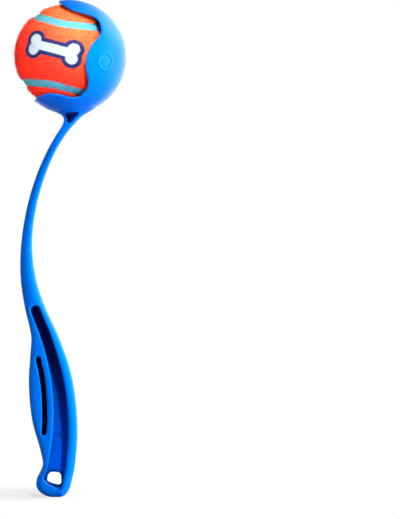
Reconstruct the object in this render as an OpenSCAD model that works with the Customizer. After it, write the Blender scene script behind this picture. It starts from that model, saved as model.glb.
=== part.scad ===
// Dog ball launcher: a one-piece moulded stick whose clawed cup holds a felt-covered ball.
// Millimetres, +Z up the stick, +X away from the mouth of the cup, +Y across the stick.
// The origin is the middle of the hand grip, in the mid-plane of the moulding.

/* [Ball] */
// Diameter of the ball over its pressed nap
ball_d = 64; // [60:0.5:67]
// Thickness of the felt
felt_t = 2.8; // [2:0.1:3.5]
// Wall of the hollow rubber core
core_wall = 3.4; // [2.5:0.1:5]
// Width of the rubber seam between the panels
seam_w = 5.2; // [3.6:0.1:6.6]
// Depth of the seam below the nap
seam_sink = 0.6; // [0.2:0.1:1.2]
// Angle from the middle of a panel to the seam at its waist
waist_half = 39; // [35:0.5:44]
// Thickness of the glue between the pieces of the ball
glue_t = 0.05; // [0.04:0.01:0.1]

/* [Cup] */
// Wall of the cup
cup_wall = 3.4; // [3.1:0.1:4.5]
// Room between the ball and the bowl of the cup
bowl_play = 1.1; // [0.9:0.1:1.3]
// Room between the ball and the straight inside of the claws
mouth_play = 0.3; // [0.25:0.05:0.4]
// Distance of the ball in front of the middle of the bowl
ball_forward = 3; // [2.5:0.1:3.8]
// Upward tilt of the mouth
mouth_tilt = 13.7; // [8:0.1:20]
// Reach of the claw tips in front of the middle of the bowl
claw_reach = 15.4; // [13:0.1:15.8]
// Height of a claw, seen from the side
claw_h = 9.8; // [8.5:0.1:11]
// Depth of the two bays of the rim behind the middle of the bowl
bay_back = 16; // [14.5:0.1:18]
// Radius of the bays
bay_r = 9.4; // [8.8:0.1:10]
// Place of the tongue between the bays, behind the middle of the bowl
tongue_back = 11.1; // [10:0.1:12]
// Place of the raised ring on each flank, behind the middle of the bowl
ring_back = 23.2; // [21:0.1:25]
// Radius of the raised ring, at the middle of its line
ring_r = 5.35; // [4.5:0.05:6]
// Width of the line of the raised ring
ring_w = 1.2; // [1:0.1:1.6]
// Height of the raised ring
ring_rise = 0.4; // [0.3:0.1:0.8]

/* [Stem] */
// Rise of the stem from the top of the handle to the underside of the cup
stem_len = 124.5; // [110:0.5:150]
// Thickness of the stem below the cup, front to back
stem_t = 5.5; // [5:0.1:7]
// Thickness of the stem above the handle, front to back
stem_low_t = 8.7; // [7.5:0.1:10]
// Width of the stem below the cup
stem_w = 14; // [12:0.5:17]
// Place of the middle of the cup behind the middle of the grip
cup_x = 11.1; // [9:0.1:13]

/* [Handle] */
// Length from the butt to the top of the handle
handle_len = 122; // [112:0.5:140]
// Width of the handle across its two flanges
handle_w = 23; // [20:0.5:27]
// Depth of the grip, front to back, where it is fullest
grip_depth = 29.5; // [28:0.1:32]
// Depth at the waist above the grip
waist_depth = 17.5; // [17:0.1:19.5]
// Depth at the notch above the butt
heel_depth = 20.5; // [20:0.1:22.5]
// Depth of the butt
butt_depth = 22.7; // [22:0.1:25]
// Radius of the long edges of the handle
edge_r = 3.4; // [2:0.1:4]

/* [Recesses] */
// Thickness of the web left in the middle of the recesses
web_t = 3; // [2:0.1:5]
// Thickness of the spine behind the long recess, over the grip
spine_t = 6.1; // [5.5:0.1:6.5]
// Thickness of the spine at the upper end of the long recess
spine_t_top = 4.2; // [3.8:0.1:4.8]
// Width of the long recess at its upper end
recess_w_top = 5.75; // [5.2:0.05:6.1]
// Width of the long recess at its lower end
recess_w_low = 12.1; // [11.6:0.1:12.4]
// Thickness of the rib between the long recess and the short slot
rib_t = 4.35; // [3.8:0.05:4.7]
// Width of the short slot
slot_w = 2.9; // [2.4:0.1:3.3]
// Width of the hang hole
hang_w = 9; // [7.5:0.1:9.4]
// Height of the hang hole
hang_h = 8.7; // [7.5:0.1:9.2]

/* [Hidden] */
$fn = 96;

// Ball
ball_r = ball_d / 2;
felt_in_r = ball_r - felt_t;
core_r = felt_in_r - glue_t;
seam_r = ball_r - seam_sink;
ball_turn = 11;
ball_pitch = 6;
ball_yaw = 10;
seam_steps = 24;
cone_far = 4;

// Cup
bowl_r = ball_r + bowl_play;
cup_r = bowl_r + cup_wall;
mouth_r = ball_r + mouth_play;
mouth_dir = [-cos(mouth_tilt), sin(mouth_tilt)];
claw_dir = [sin(mouth_tilt), cos(mouth_tilt)];
beyond = 6;
ring_fn = 48;

// Levels up the stick
butt_z = -0.507 * handle_len;
stem_z = butt_z + handle_len;
neck_z = stem_z + stem_len;
cup_at = [cup_x, neck_z + cup_r];
ball_at = cup_at + ball_forward * mouth_dir;

// Level of a share of the handle, and of a share of the stem
function on_handle(share) = butt_z + share * handle_len;
function on_stem(share) = stem_z + share * stem_len;

// Back edge of the stick: [level, x]
spine = [
    [on_handle(0), 11],
    [on_handle(0.17), 14.6],
    [on_handle(0.35), 16.2],
    [on_handle(0.51), 15.1],
    [on_handle(0.67), 11.6],
    [on_handle(0.84), 4.3],
    [on_handle(1), -4.5],
    [on_stem(0.15), -10.5],
    [on_stem(0.32), -12.8],
    [on_stem(0.49), -10.8],
    [on_stem(0.65), -5.7],
    [on_stem(0.79), 1.3],
    [on_stem(0.89), 8.6],
    [on_stem(0.95), cup_x + 3.7],
    [on_stem(0.99), cup_x + 8.8],
    [neck_z + 3.6, cup_x + 15.4],
    [neck_z + 9, cup_x + 15.4]
];

// Depth of the stick, front to back: [level, depth]
depths = [
    [on_handle(0), butt_depth],
    [on_handle(0.08), butt_depth],
    [on_handle(0.165), heel_depth],
    [on_handle(0.24), heel_depth + 2.3],
    [on_handle(0.38), grip_depth - 1.2],
    [on_handle(0.5), grip_depth],
    [on_handle(0.63), grip_depth - 1.8],
    [on_handle(0.75), grip_depth - 7],
    [on_handle(0.845), waist_depth],
    [on_handle(1), 0.5 * (waist_depth + stem_low_t)],
    [on_stem(0.21), stem_low_t],
    [on_stem(0.4), stem_t + 0.9],
    [on_stem(0.72), stem_t],
    [on_stem(0.87), stem_t + 0.2],
    [on_stem(0.94), stem_t + 1.6],
    [on_stem(0.98), stem_t + 5.9],
    [neck_z + 1.2, stem_t + 15],
    [neck_z + 4, stem_t + 24.5],
    [neck_z + 9, stem_t + 24.5]
];

// Width of the stick: [level, width]
widths = [
    [on_handle(0), handle_w],
    [on_handle(0.69), handle_w],
    [on_handle(1), 0.75 * handle_w + 0.25 * stem_w],
    [on_stem(0.32), 0.3 * handle_w + 0.7 * stem_w],
    [on_stem(0.72), stem_w],
    [on_stem(0.9), stem_w],
    [on_stem(0.97), stem_w + 2],
    [neck_z + 1.2, stem_w + 5],
    [neck_z + 4, stem_w + 10],
    [neck_z + 9, stem_w + 10]
];

// Rounding of the butt: [inset, height] at the front, the back and the sides
butt_front = [13.5, 11.5];
butt_back = [6.5, 8];
butt_side = [4, 4.5];

corner_steps = 5;
butt_steps = 9;
run_step = 4;
neck_step = 1;

// Smooth curve through a list of [level, value]
function slope(t, i) =
    i == 0 || i == len(t) - 1 ? 0
    : (t[i + 1][1] - t[i - 1][1]) / (t[i + 1][0] - t[i - 1][0]);
function hermite(a, b, sa, sb, h, q) =
    a * (1 + 2 * q) * (1 - q) * (1 - q)
    + b * q * q * (3 - 2 * q)
    + h * q * (1 - q) * (sa * (1 - q) - sb * q);
function seg(t, z, i = 0) = i >= len(t) - 2 || z < t[i + 1][0] ? i : seg(t, z, i + 1);
function along(t, z) =
    let (
        i = seg(t, z),
        h = t[i + 1][0] - t[i][0],
        q = min(1, max(0, (z - t[i][0]) / h))
    )
    hermite(t[i][1], t[i + 1][1], slope(t, i), slope(t, i + 1), h, q);

// Section of the stick at a level
function round_off(e, z) =
    let (q = min(1, max(0, (butt_z + e[1] - z) / e[1])))
    e[0] * (1 - sqrt(1 - q * q));
function back_x(z) = along(spine, z) - round_off(butt_back, z);
function front_x(z) = along(spine, z) - along(depths, z) + round_off(butt_front, z);
function half_w(z) = along(widths, z) / 2 - round_off(butt_side, z);
function section_r(z) =
    let (fit = min((back_x(z) - front_x(z)) / 2, half_w(z)))
    z > stem_z ? min(fit, edge_r + 0.3 * (z - stem_z)) : min(fit, edge_r);
function section(z) =
    let (f = front_x(z), b = back_x(z), w = half_w(z), r = section_r(z) * 0.999)
    [for (c = [0:3], k = [0:corner_steps])
        let (
            a = 90 * c + 90 * k / corner_steps,
            cx = c == 0 || c == 3 ? b - r : f + r,
            cy = c < 2 ? w - r : r - w
        )
        [cx + r * cos(a), cy + r * sin(a), z]
    ];

run_top = on_stem(0.9);
run_from = butt_z + butt_front[1];
run_count = ceil((run_top - run_from) / run_step);
neck_count = ceil((neck_z + 8 - run_top) / neck_step);
levels = concat(
    [for (i = [0:butt_steps - 1]) butt_z + butt_front[1] * (1 - cos(90 * i / butt_steps))],
    [for (i = [0:run_count]) run_from + (run_top - run_from) * i / run_count],
    [for (i = [1:neck_count]) run_top + (neck_z + 8 - run_top) * i / neck_count]
);

module stick() {
    n = 4 * (corner_steps + 1);
    m = len(levels);
    pts = [for (z = levels) each section(z)];
    sides = [
        for (j = [0:m - 2], i = [0:n - 1])
        let (
            a = j * n + i,
            b = j * n + (i + 1) % n
        )
        each [[a, a + n, b + n], [a, b + n, b]]
    ];
    ends = [[for (i = [0:n - 1]) i], [for (i = [0:n - 1]) m * n - 1 - i]];
    polyhedron(pts, concat(sides, ends), convexity = 8);
}

// Rim of the cup seen from the side, upper half: [forward of the bowl's middle, toward the claw]
claw_edge = cup_r - claw_h;
bay_at = [bay_r - bay_back, claw_edge - bay_r];
// Radius of the tongue that runs into both bays without a corner
tongue_gap = bay_at[0] + tongue_back;
tongue_r = (tongue_gap * tongue_gap + bay_at[1] * bay_at[1] - bay_r * bay_r) / (2 * (bay_r - tongue_gap));
tongue_a = atan2(bay_at[1], tongue_gap + tongue_r);
tip_rise = sqrt(cup_r * cup_r - claw_reach * claw_reach) - claw_edge;
claw_curve = 3.6;
rim_steps = 10;

function claw_v(d) = claw_edge + tip_rise * pow((d - bay_at[0]) / (claw_reach - bay_at[0]), claw_curve);
half_rim = concat(
    [for (i = [0:rim_steps - 1])
        let (a = tongue_a * i / rim_steps)
        [tongue_r * (cos(a) - 1) - tongue_back, tongue_r * sin(a)]],
    [for (i = [0:2 * rim_steps - 1])
        let (a = 180 + tongue_a - (90 + tongue_a) * i / (2 * rim_steps))
        bay_at + bay_r * [cos(a), sin(a)]],
    [for (i = [0:rim_steps])
        let (d = bay_at[0] + (claw_reach + 1.5 - bay_at[0]) * i / rim_steps)
        [d, claw_v(d)]],
    [[claw_reach + 1.5, cup_r + beyond]]
);
far_back = -cup_r - beyond;
rim = concat(
    half_rim,
    [[far_back, cup_r + beyond], [far_back, -cup_r - beyond]],
    [for (i = [len(half_rim) - 1:-1:1]) [half_rim[i][0], -half_rim[i][1]]]
);

// Draws an outline of [x, z] points, symmetric about the mid-plane
module across(outline, width) {
    rotate([90, 0, 0])
        linear_extrude(height = width, center = true, convexity = 6)
            polygon(outline);
}

// Cuts an outline from both flanks, down to the web
module from_flanks(outline) {
    for (side = [0, 1])
        mirror([0, side, 0])
            translate([0, -web_t / 2, 0])
                rotate([90, 0, 0])
                    linear_extrude(height = handle_w, convexity = 4)
                        polygon(outline);
}

module cup_shell() {
    intersection() {
        translate([cup_at[0], 0, cup_at[1]])
            sphere(r = cup_r);
        across([for (p = rim) cup_at + p[0] * mouth_dir + p[1] * claw_dir], 2 * (cup_r + beyond));
    }
}

// Raised ring on each flank, round where it lies on the cup
module flank_rings() {
    intersection() {
        sphere(r = cup_r + ring_rise);
        for (side = [-1, 1])
            rotate([0, mouth_tilt, 0])
                rotate([0, 90, side * acos(ring_back / cup_r)])
                    difference() {
                        cylinder(r = ring_r + ring_w / 2, h = cup_r + beyond, $fn = ring_fn);
                        cylinder(r = ring_r - ring_w / 2, h = cup_r + beyond, $fn = ring_fn);
                    }
    }
}

module bowl() {
    translate([cup_at[0], 0, cup_at[1]]) {
        sphere(r = bowl_r);
        rotate([0, mouth_tilt - 90, 0])
            cylinder(r = mouth_r, h = cup_r + beyond);
    }
}

// Outline of a long recess: middle line x at a level, width at a level, two end levels, end lengths
end_steps = 7;
recess_steps = 22;
function end_share(q, power) = pow(max(0, 1 - pow(q, power)), 1 / power);
function ease(i, n) = 1 - cos(90 * i / n);
function recess_levels(lo, hi, cap_lo, cap_hi) = concat(
    [for (i = [0:end_steps - 1]) lo + cap_lo * ease(i, end_steps)],
    [for (i = [0:recess_steps]) lo + cap_lo + (hi - cap_hi - lo - cap_lo) * i / recess_steps],
    [for (i = [end_steps - 1:-1:0]) hi - cap_hi * ease(i, end_steps)]
);

recess_lo = on_handle(0.0615);
recess_hi = on_handle(1.004);
recess_flare = 1.45;
function recess_drop(z) = max(0, (recess_hi - z) / (recess_hi - recess_lo));
function recess_w(z) = recess_w_top + (recess_w_low - recess_w_top) * pow(recess_drop(z), recess_flare);
// The spine thins toward the upper end of the recess
thin_lo = on_handle(0.69);
function spine_at(z) =
    spine_t + (spine_t_top - spine_t) * min(1, max(0, (z - thin_lo) / (recess_hi - thin_lo)));
function recess_x(z) = along(spine, z) - spine_at(z) - recess_w(z) / 2;
recess_cap_lo = 4.5;
recess_cap_hi = recess_w_top / 2;
// The lower end is squarer than an ellipse and slants down toward the spine, less so higher up
round_power = 2;
square_power = 3;
recess_slant = 0.26;
slant_run = 12;
function slant_at(z) = recess_slant * max(0, 1 - (z - recess_lo) / slant_run);

slot_lo = on_handle(0.328);
slot_hi = on_handle(0.738);
slot_cap = slot_w / 2;
function slot_x(z) = along(spine, z) - spine_at(z) - recess_w(z) - rib_t - slot_w / 2;

tangent_dz = 0.5;
function normal(dx) = [1, -dx] / norm([1, dx]);
function recess_dir(z) = normal((recess_x(z + tangent_dz) - recess_x(z - tangent_dz)) / (2 * tangent_dz));
function slot_dir(z) = normal((slot_x(z + tangent_dz) - slot_x(z - tangent_dz)) / (2 * tangent_dz));
function cap_share(z, lo, hi, cap_lo, cap_hi, power_lo) =
    min(
        end_share(max(0, (lo + cap_lo - z) / cap_lo), power_lo),
        end_share(max(0, (z - hi + cap_hi) / cap_hi), round_power)
    );

recess_zs = recess_levels(recess_lo, recess_hi, recess_cap_lo, recess_cap_hi);
function recess_half(z) =
    recess_w(z) / 2 * cap_share(z, recess_lo, recess_hi, recess_cap_lo, recess_cap_hi, square_power);
function recess_edge(z, side) =
    [recess_x(z), z] + side * recess_half(z) * (recess_dir(z) - [0, slant_at(z)]);
recess_outline = concat(
    [for (z = recess_zs) recess_edge(z, 1)],
    [for (i = [len(recess_zs) - 2:-1:1]) recess_edge(recess_zs[i], -1)]
);

slot_zs = recess_levels(slot_lo, slot_hi, slot_cap, slot_cap);
function slot_edge(z, side) =
    [slot_x(z), z]
    + side * slot_w / 2 * cap_share(z, slot_lo, slot_hi, slot_cap, slot_cap, round_power) * slot_dir(z);
slot_outline = concat(
    [for (z = slot_zs) slot_edge(z, 1)],
    [for (i = [len(slot_zs) - 2:-1:1]) slot_edge(slot_zs[i], -1)]
);

// Outline with rounded corners: [x, z, corner radius]
arc_steps = 6;
function unit(v) = v / norm(v);
function at(c) = [c[0], c[1]];
function corner(p, c, n) =
    let (
        ua = unit(at(p) - at(c)),
        ub = unit(at(n) - at(c)),
        half = acos(ua * ub) / 2,
        mid = at(c) + unit(ua + ub) * c[2] / sin(half),
        from = at(c) + ua * c[2] / tan(half) - mid,
        to = at(c) + ub * c[2] / tan(half) - mid
    )
    [for (k = [0:arc_steps]) mid + c[2] * unit(from * (arc_steps - k) + to * k)];
function rounded(cs) =
    let (n = len(cs))
    [for (i = [0:n - 1]) each corner(cs[(i + n - 1) % n], cs[i], cs[(i + 1) % n])];

// Hang hole, just above the lower end of the long recess, a little to the spine's side
hang_rise = 5.1;
hang_shift = 0.8;
hang_z = recess_lo + hang_rise;
hang_at = [recess_x(hang_z) + hang_shift, hang_z];
hang_corners = [
    [-0.5 * hang_w, 0.37 * hang_h, 3.2],
    [0.41 * hang_w, 0.31 * hang_h, 2.6],
    [0.46 * hang_w, -0.66 * hang_h, 1.7],
    [-0.58 * hang_w, -0.42 * hang_h, 1.2]
];
hang_outline = [for (p = rounded(hang_corners)) hang_at + p];

// Triangular recess in the neck, from the lowest point of the cup
neck_corners = [
    [-2.6, 0.1, 0.9],
    [6.4, 0.4, 0.8],
    [-1.1, -8.4, 1]
];
neck_outline = [for (p = rounded(neck_corners)) [cup_x, neck_z] + p];

module launcher() {
    color("#0a6ce0")
        difference() {
            union() {
                cup_shell();
                translate([cup_at[0], 0, cup_at[1]])
                    flank_rings();
                stick();
            }
            bowl();
            from_flanks(recess_outline);
            from_flanks(slot_outline);
            from_flanks(neck_outline);
            across(hang_outline, handle_w);
        }
}

module in_cup() {
    translate([ball_at[0], 0, ball_at[1]])
        rotate([0, 0, -ball_yaw])
            rotate([0, ball_turn, 0])
                rotate([90 + ball_pitch, 0, 0])
                    children();
}

// Seam: its latitude swings between the two panels four times round the ball
seam_lat = 90 - waist_half;
function swing(t) = cos(t) * cos(t) * cos(t);
function seam_p(t) =
    let (
        k = floor(t / 180),
        r = t - 180 * k,
        lon = 90 * k + acos(swing(r)) / 2,
        lat = seam_lat * cos(t)
    )
    [cos(lat) * sin(lon), cos(lat) * cos(lon), sin(lat)];
function seam_side(t) = unit(cross(seam_p(t + 1) - seam_p(t - 1), seam_p(t)));
seam_half = asin(seam_w / 2 / ball_r);
panel_edge = [
    for (i = [0:4 * seam_steps - 1])
    let (t = 180 * i / seam_steps)
    seam_p(t) * cos(seam_half) + seam_side(t) * sin(seam_half)
];

// Solid angle of one panel, from the middle of the ball outward
module panel_cone() {
    n = len(panel_edge);
    far = cone_far * ball_r;
    polyhedron(
        concat([[0, 0, 0], [0, 0, far]], [for (p = panel_edge) far * p]),
        [for (i = [0:n - 1])
            let (a = i + 2, b = (i + 1) % n + 2)
            each [[0, b, a], [1, a, b]]],
        convexity = 6
    );
}

// Turns a panel over, so that its lobes close round the waist of the other one
module turned_over() {
    rotate(a = 180, v = [1, 1, 0])
        children();
}

module shell(outer, inner) {
    difference() {
        sphere(r = outer);
        sphere(r = inner);
    }
}

module core_half(side) {
    intersection() {
        shell(core_r, core_r - core_wall);
        translate([0, 0, side * (ball_r + glue_t / 2)])
            cube(2 * ball_r, center = true);
    }
}

module ball_core_front() {
    color("#3a3a3a")
        in_cup()
            core_half(1);
}

module ball_core_rear() {
    color("#3a3a3a")
        in_cup()
            core_half(-1);
}

module felt_panel() {
    intersection() {
        shell(ball_r, felt_in_r);
        panel_cone();
    }
}

module felt_panel_front() {
    color("#f4581c")
        in_cup()
            felt_panel();
}

module felt_panel_rear() {
    color("#f4581c")
        in_cup()
            turned_over()
                felt_panel();
}

module seam_band() {
    color("#6cc6dc")
        in_cup()
            difference() {
                shell(seam_r, felt_in_r);
                panel_cone();
                turned_over()
                    panel_cone();
            }
}

launcher();
ball_core_front();
ball_core_rear();
felt_panel_front();
felt_panel_rear();
seam_band();
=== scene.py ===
import itertools
import math

import bpy
import numpy as np
from mathutils import Matrix, Vector


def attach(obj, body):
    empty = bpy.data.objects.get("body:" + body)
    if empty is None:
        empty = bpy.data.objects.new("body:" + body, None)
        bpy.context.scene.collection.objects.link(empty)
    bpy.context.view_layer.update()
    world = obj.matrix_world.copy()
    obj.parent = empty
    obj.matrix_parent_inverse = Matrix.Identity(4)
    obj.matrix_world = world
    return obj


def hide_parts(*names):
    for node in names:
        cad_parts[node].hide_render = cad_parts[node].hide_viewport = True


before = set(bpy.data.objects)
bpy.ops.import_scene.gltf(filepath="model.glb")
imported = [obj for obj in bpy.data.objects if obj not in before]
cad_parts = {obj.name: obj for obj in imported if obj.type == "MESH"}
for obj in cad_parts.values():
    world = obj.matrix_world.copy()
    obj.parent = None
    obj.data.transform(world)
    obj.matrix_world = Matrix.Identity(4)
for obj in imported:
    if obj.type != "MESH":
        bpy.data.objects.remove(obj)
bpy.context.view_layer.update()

# Shapes are worked out in millimetres and become metres where a mesh is made.
MM = 0.001

scene = bpy.context.scene
scene.view_settings.view_transform = "Standard"


# Helpers for meshes and materials

def linear(colour):
    """Linear RGBA of an sRGB hex colour."""
    parts = [int(colour[i:i + 2], 16) / 255 for i in (1, 3, 5)]
    return [c / 12.92 if c <= 0.04045 else ((c + 0.055) / 1.055) ** 2.4 for c in parts] + [1.0]


def add(tree, kind, inputs=None, **settings):
    """Adds a node with its settings. An input that is a socket is linked, any other is set."""
    made = tree.nodes.new(kind)
    for key, value in settings.items():
        setattr(made, key, value)
    for key, value in (inputs or {}).items():
        if isinstance(value, bpy.types.NodeSocket):
            tree.links.new(value, made.inputs[key])
        else:
            made.inputs[key].default_value = value
    return made


def value_of(tree, name):
    """One of the mesh's attributes."""
    return add(tree, "ShaderNodeAttribute", attribute_name=name).outputs["Fac"]


def noise(tree, place, scale, detail, **more):
    """Soft noise. The scale counts its waves in a unit of the place."""
    inputs = {"Vector": place, "Scale": scale, "Detail": detail, **more}
    return add(tree, "ShaderNodeTexNoise", inputs).outputs["Fac"]


def maths(tree, operation, *values):
    return add(tree, "ShaderNodeMath", dict(enumerate(values)), operation=operation).outputs[0]


def vector_maths(tree, operation, *vectors):
    """A number from two vectors."""
    return add(tree, "ShaderNodeVectorMath", dict(enumerate(vectors)), operation=operation).outputs["Value"]


def ranged(tree, value, given, wanted=(0, 1), ease="LINEAR"):
    """A value moved from the given range to the wanted one and kept inside it."""
    (low, high), (start, end) = given, wanted
    inputs = {"Value": value, "From Min": low, "From Max": high, "To Min": start, "To Max": end}
    return add(tree, "ShaderNodeMapRange", inputs, interpolation_type=ease).outputs["Result"]


def mixed(tree, share, first, second, blend="MIX"):
    """Two colours mixed."""
    inputs = {"Factor": share, 6: first, 7: second}
    return add(tree, "ShaderNodeMix", inputs, data_type="RGBA", blend_type=blend).outputs[2]


def bumped(tree, shader, height, strength, distance):
    """Gives the shader a bump. The distance is in metres."""
    bump = add(tree, "ShaderNodeBump", {"Height": height, "Strength": strength, "Distance": distance})
    tree.links.new(bump.outputs["Normal"], shader.inputs["Normal"])


def set_inputs(shader, values):
    for key, value in values.items():
        shader.inputs[key].default_value = value


def finish_named(name):
    """An empty material: itself, its tree, its surface shader and the place on the object."""
    finish = bpy.data.materials.new(name)
    finish.use_nodes = True
    tree = finish.node_tree
    return finish, tree, tree.nodes["Principled BSDF"], add(tree, "ShaderNodeTexCoord").outputs["Object"]


def solid(name, points, faces, finish, body, *nodes, slot):
    """A smooth piece from points in millimetres, which rides on a body and stands in for CAD nodes."""
    mesh = bpy.data.meshes.new(name)
    mesh.from_pydata((np.asarray(points) * MM).tolist(), [], [list(f) for f in faces])
    mesh.polygons.foreach_set("use_smooth", [True] * len(mesh.polygons))
    mesh.materials.append(finish)
    mesh.update()
    piece = bpy.data.objects.new(name, mesh)
    scene.collection.objects.link(piece)
    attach(piece, body)
    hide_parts(*nodes)
    return piece


# Launcher: the curves of the moulding

HANDLE_LEN, STEM_LEN = 122.0, 124.5
HANDLE_W, STEM_W = 23.0, 14.0
GRIP, WAIST, HEEL, BUTT = 29.5, 17.5, 20.5, 22.7
STEM_T, STEM_LOW_T = 5.5, 8.7
BUTT_Z = -0.507 * HANDLE_LEN
STEM_Z = BUTT_Z + HANDLE_LEN
NECK_Z = STEM_Z + STEM_LEN
CUP_R, BOWL_R, MOUTH_R = 36.5, 33.1, 32.3
CUP_X, CUP_Z = 11.1, NECK_Z + CUP_R
TILT = math.radians(13.7)
MOUTH = np.array([-math.cos(TILT), math.sin(TILT)])
CLAW = np.array([math.sin(TILT), math.cos(TILT)])
WEB, FRONT_EDGE_R, BACK_EDGE_R = 3.0, 3.0, 4.7


def on_handle(share):
    return BUTT_Z + share * HANDLE_LEN


def on_stem(share):
    return STEM_Z + share * STEM_LEN


# Back edge, depth and width of the stick, in rows of [level, value]
SPINE = [
    [on_handle(0), 11], [on_handle(0.17), 14.6], [on_handle(0.35), 16.2], [on_handle(0.51), 15.1],
    [on_handle(0.67), 11.6], [on_handle(0.84), 4.3], [on_handle(1), -4.5], [on_stem(0.15), -10.5],
    [on_stem(0.32), -12.8], [on_stem(0.49), -10.8], [on_stem(0.65), -5.7], [on_stem(0.79), 1.3],
    [on_stem(0.89), 8.6], [on_stem(0.95), CUP_X + 3.7], [on_stem(0.99), CUP_X + 8.8],
    [NECK_Z + 3.6, CUP_X + 15.4], [NECK_Z + 9, CUP_X + 15.4],
]
DEPTH = [
    [on_handle(0), BUTT], [on_handle(0.08), BUTT], [on_handle(0.165), HEEL], [on_handle(0.24), HEEL + 2.3],
    [on_handle(0.38), GRIP - 1.2], [on_handle(0.5), GRIP], [on_handle(0.63), GRIP - 1.8],
    [on_handle(0.75), GRIP - 7], [on_handle(0.845), WAIST], [on_handle(1), (WAIST + STEM_LOW_T) / 2],
    [on_stem(0.21), STEM_LOW_T], [on_stem(0.4), STEM_T + 0.9], [on_stem(0.72), STEM_T],
    [on_stem(0.87), STEM_T + 0.2], [on_stem(0.94), STEM_T + 1.6], [on_stem(0.98), STEM_T + 5.9],
    [NECK_Z + 1.2, STEM_T + 15], [NECK_Z + 4, STEM_T + 24.5], [NECK_Z + 9, STEM_T + 24.5],
]
WIDTH = [
    [on_handle(0), HANDLE_W], [on_handle(0.69), HANDLE_W], [on_handle(1), 0.75 * HANDLE_W + 0.25 * STEM_W],
    [on_stem(0.32), 0.3 * HANDLE_W + 0.7 * STEM_W], [on_stem(0.72), STEM_W], [on_stem(0.9), STEM_W],
    [on_stem(0.97), STEM_W + 2], [NECK_Z + 1.2, STEM_W + 5], [NECK_Z + 4, STEM_W + 10],
    [NECK_Z + 9, STEM_W + 10],
]
BUTT_FRONT, BUTT_BACK = (13.5, 11.5), (6.5, 8.0)


def along(table, z):
    """Smooth curve through rows of [level, value]."""
    level, value = np.array(table, float).T
    slope = np.zeros(len(level))
    slope[1:-1] = (value[2:] - value[:-2]) / (level[2:] - level[:-2])
    i = np.clip(np.searchsorted(level, z, side="right") - 1, 0, len(level) - 2)
    h = level[i + 1] - level[i]
    q = np.clip((z - level[i]) / h, 0, 1)
    return (
        value[i] * (1 + 2 * q) * (1 - q) ** 2
        + value[i + 1] * q * q * (3 - 2 * q)
        + h * q * (1 - q) * (slope[i] * (1 - q) - slope[i + 1] * q)
    )


def round_off(end, z):
    """Inset of the outline where the butt is rounded: end is (inset, height)."""
    q = np.clip((BUTT_Z + end[1] - z) / end[1], 0, 1)
    return end[0] * (1 - np.sqrt(1 - q * q))


def stick_outline():
    low = BUTT_Z + BUTT_FRONT[1] * (1 - np.cos(np.linspace(0, math.pi / 2, 26)))
    z = np.concatenate([low[:-1], np.linspace(low[-1], NECK_Z + 8, 270)])
    back = along(SPINE, z) - round_off(BUTT_BACK, z)
    front = along(SPINE, z) - along(DEPTH, z) + round_off(BUTT_FRONT, z)
    return np.concatenate([np.column_stack([back, z]), np.column_stack([front, z])[::-1]])


def rim_outline():
    """Rim of the cup seen from the side: tongue, two bays and two claws."""
    claw_h, bay_back, bay_r, tongue_back, reach, beyond = 9.8, 16.0, 9.4, 11.1, 15.4, 6.0
    tip, curl = reach + 1.5, 3.6
    edge = CUP_R - claw_h
    bay = np.array([bay_r - bay_back, edge - bay_r])
    gap = bay[0] + tongue_back
    tongue_r = (gap ** 2 + bay[1] ** 2 - bay_r ** 2) / (2 * (bay_r - gap))
    turn = math.atan2(bay[1], gap + tongue_r)
    rise = math.sqrt(CUP_R ** 2 - reach ** 2) - edge
    a = np.linspace(0, turn, 16)[:-1]
    tongue = np.column_stack([tongue_r * (np.cos(a) - 1) - tongue_back, tongue_r * np.sin(a)])
    a = np.linspace(math.pi + turn, math.pi / 2, 30)[:-1]
    hollow = bay + bay_r * np.column_stack([np.cos(a), np.sin(a)])
    d = np.linspace(bay[0], tip, 30)
    claw = np.column_stack([d, edge + rise * ((d - bay[0]) / (reach - bay[0])) ** curl])
    far = CUP_R + beyond
    upper = np.concatenate([tongue, hollow, claw, [[tip, far]]])
    whole = np.concatenate([upper, [[-far, far], [-far, -far]], (upper * [1, -1])[:0:-1]])
    return [CUP_X, CUP_Z] + whole[:, :1] * MOUTH + whole[:, 1:] * CLAW


# Walls and recesses of the flanks. The spine gets thinner above the level SPINE_THINS. The long recess
# widens downward by the power RECESS_FLARE. Its lower end is RECESS_CAP high, squared by a power, and
# slants down toward the back, less and less over SLANT_RUN.
SPINE_T, SPINE_T_TOP, SPINE_THINS, RIB_T = 6.1, 4.2, on_handle(0.69), 4.35
RECESS_LO, RECESS_HI = on_handle(0.0615), on_handle(1.004)
RECESS_W_LOW, RECESS_W_TOP, RECESS_FLARE = 12.1, 5.75, 1.45
RECESS_CAP, RECESS_SQUARE, SLANT, SLANT_RUN = 4.5, 3, 0.26, 12.0
SLOT_LO, SLOT_HI, SLOT_W = on_handle(0.328), on_handle(0.738), 2.9


def recess_w(z):
    drop = np.maximum(0, (RECESS_HI - z) / (RECESS_HI - RECESS_LO))
    return RECESS_W_TOP + (RECESS_W_LOW - RECESS_W_TOP) * drop ** RECESS_FLARE


def spine_at(z):
    thinning = np.clip((z - SPINE_THINS) / (RECESS_HI - SPINE_THINS), 0, 1)
    return SPINE_T + (SPINE_T_TOP - SPINE_T) * thinning


def recess_x(z):
    return along(SPINE, z) - spine_at(z) - recess_w(z) / 2


def slot_x(z):
    return along(SPINE, z) - spine_at(z) - recess_w(z) - RIB_T - SLOT_W / 2


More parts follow.
